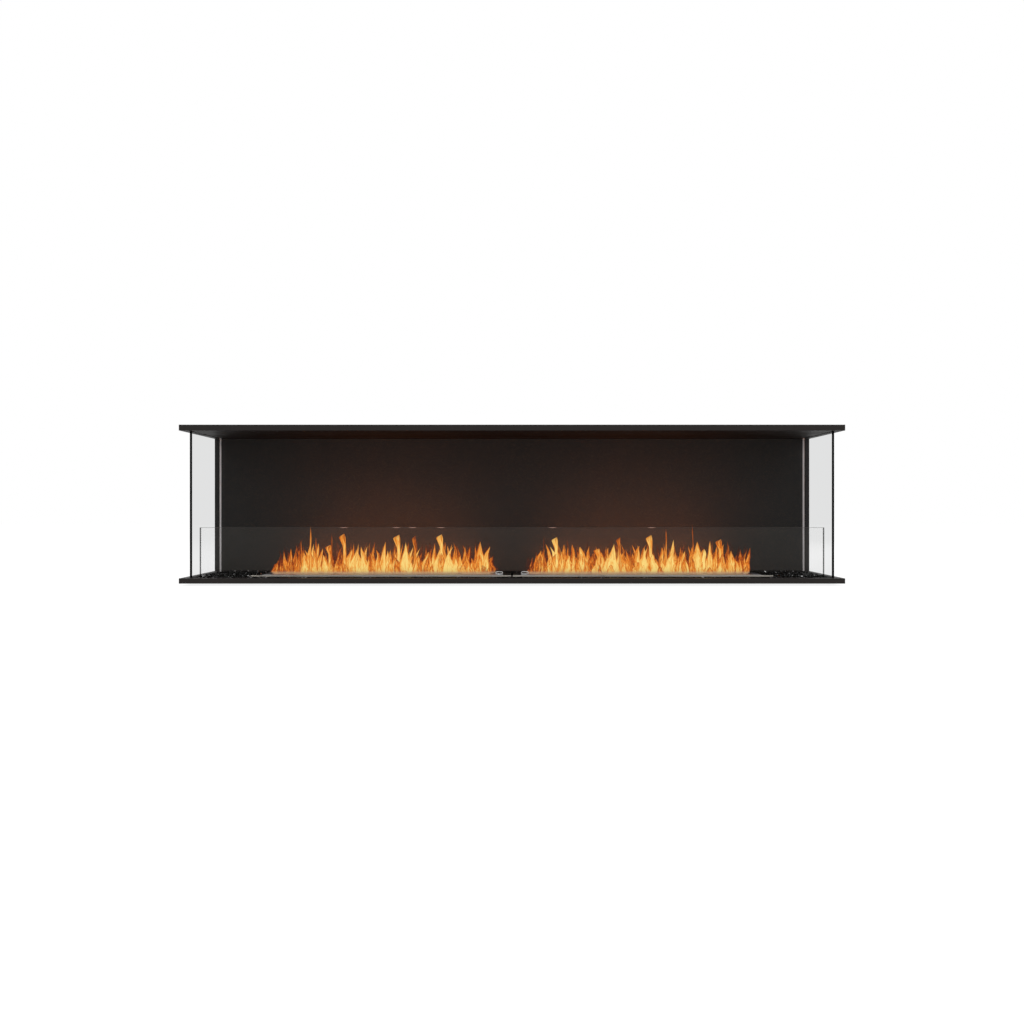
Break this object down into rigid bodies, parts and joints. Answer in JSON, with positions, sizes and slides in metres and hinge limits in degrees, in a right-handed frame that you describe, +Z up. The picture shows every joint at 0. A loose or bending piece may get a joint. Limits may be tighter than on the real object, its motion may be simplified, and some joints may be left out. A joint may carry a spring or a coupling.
{
  "type": "bioethanol fireplace insert",
  "caption": "Long bay-style bioethanol fireplace insert: black base and top, clear side glass, low glass screen, drop-in steel burners with sliding regulators, black glass stones.",
  "frame": {"origin": "bottom centre of the whole insert, on the level of the burner wells and support pads", "axes": "+X along the width to the right as seen from the front, +Y from the open front to the back panel, +Z up"},
  "size_m": [2.41, 0.46, 0.584],
  "materials": {
    "black_powder_coat": "satin black powder coat",
    "heat_black": "matt speckled heat-resistant coating",
    "hidden_steel": "matt black primer",
    "brushed_steel": "brushed along the length",
    "clear_glass": "clear toughened glass",
    "black_rubber": "matt",
    "black_glass_stones": "glossy crushed black glass",
    "ceramic_fibre": "soft white ceramic fibre"
  },
  "bodies": {
    "firebox": {"base_pan": "black_powder_coat", "well_pan_left": "hidden_steel", "well_pan_right": "hidden_steel", "support_pads": "black_rubber", "top_cover": "black_powder_coat", "ceiling_plate": "heat_black", "top_ribs": "hidden_steel", "insulation_boards": "ceramic_fibre", "back_panel": "heat_black", "rear_casing": "hidden_steel", "rear_posts": "hidden_steel", "rear_screws": "brushed_steel", "side_glass_left": "clear_glass", "side_glass_right": "clear_glass", "edge_trim_left": "black_rubber", "edge_trim_right": "black_rubber", "floor_channel_left": "black_powder_coat", "floor_channel_right": "black_powder_coat", "ceiling_channel_left": "hidden_steel", "ceiling_channel_right": "hidden_steel", "floor_gasket_left": "black_rubber", "floor_gasket_right": "black_rubber", "ceiling_gasket_left": "black_rubber", "ceiling_gasket_right": "black_rubber", "screen_channel": "black_powder_coat", "screen_blocks": "black_rubber", "stones_front": "black_glass_stones", "stones_left": "black_glass_stones", "stones_right": "black_glass_stones", "stones_rear": "black_glass_stones"},
    "screen": {"glass_screen": "clear_glass"},
    "burner_left": {"burner_tray_left": "heat_black", "edge_strip_left": "brushed_steel", "burner_top_left": "brushed_steel", "reservoir_left": "brushed_steel", "absorbent_pad_left": "ceramic_fibre", "regulator_rails_left": "brushed_steel"},
    "regulator_left": {"regulator_plate_left": "brushed_steel", "pull_loop_left": "brushed_steel"},
    "burner_right": {"burner_tray_right": "heat_black", "edge_strip_right": "brushed_steel", "burner_top_right": "brushed_steel", "reservoir_right": "brushed_steel", "absorbent_pad_right": "ceramic_fibre", "regulator_rails_right": "brushed_steel"},
    "regulator_right": {"regulator_plate_right": "brushed_steel", "pull_loop_right": "brushed_steel"}
  },
  "joints": [
    {"name": "screen_lift", "type": "slide", "parent": "firebox", "child": "screen", "axis": [0, 0, 1], "range_m": [0, 0.15]},
    {"name": "burner_lift_left", "type": "slide", "parent": "firebox", "child": "burner_left", "axis": [0, 0, 1], "range_m": [0, 0.12]},
    {"name": "regulator_slide_left", "type": "slide", "parent": "burner_left", "child": "regulator_left", "axis": [0, 1, 0], "range_m": [0, 0.057]},
    {"name": "burner_lift_right", "type": "slide", "parent": "firebox", "child": "burner_right", "axis": [0, 0, 1], "range_m": [0, 0.12]},
    {"name": "regulator_slide_right", "type": "slide", "parent": "burner_right", "child": "regulator_right", "axis": [0, 1, 0], "range_m": [0, 0.057]}
  ]
}
